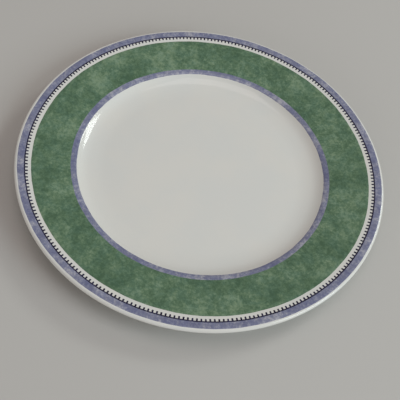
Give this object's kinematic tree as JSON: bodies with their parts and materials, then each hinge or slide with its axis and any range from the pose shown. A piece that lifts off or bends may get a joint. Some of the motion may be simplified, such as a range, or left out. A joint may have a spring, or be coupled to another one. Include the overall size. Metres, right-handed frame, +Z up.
{
  "type": "dinner plate",
  "caption": "Round porcelain dinner plate with a broad rim, shallow well and foot ring, glazed and decorated with printed enamel rings and a toothed border.",
  "frame": {"origin": "centre of the foot ring's standing face, which is the lowest point of the plate, on its axis", "axes": "+Z up along the plate's axis of revolution, towards the face; +X and +Y are alike, and one tooth of the navy border is centred on +X"},
  "size_m": [0.27, 0.27, 0.0197],
  "materials": {
    "porcelain": "fired, unglazed, fine matt",
    "glaze": "gloss white glaze",
    "lilac_enamel": "gloss, washed lilac blue, cloudy",
    "navy_enamel": "gloss, dark navy",
    "green_enamel": "gloss, sponged sage green, mottled"
  },
  "bodies": {
    "root": {"plate_body": "porcelain", "face_glaze": "glaze", "base_glaze": "glaze", "outer_lilac_band": "lilac_enamel", "navy_dentil_border": "navy_enamel", "green_band": "green_enamel", "inner_lilac_band": "lilac_enamel"}
  },
  "joints": []
}
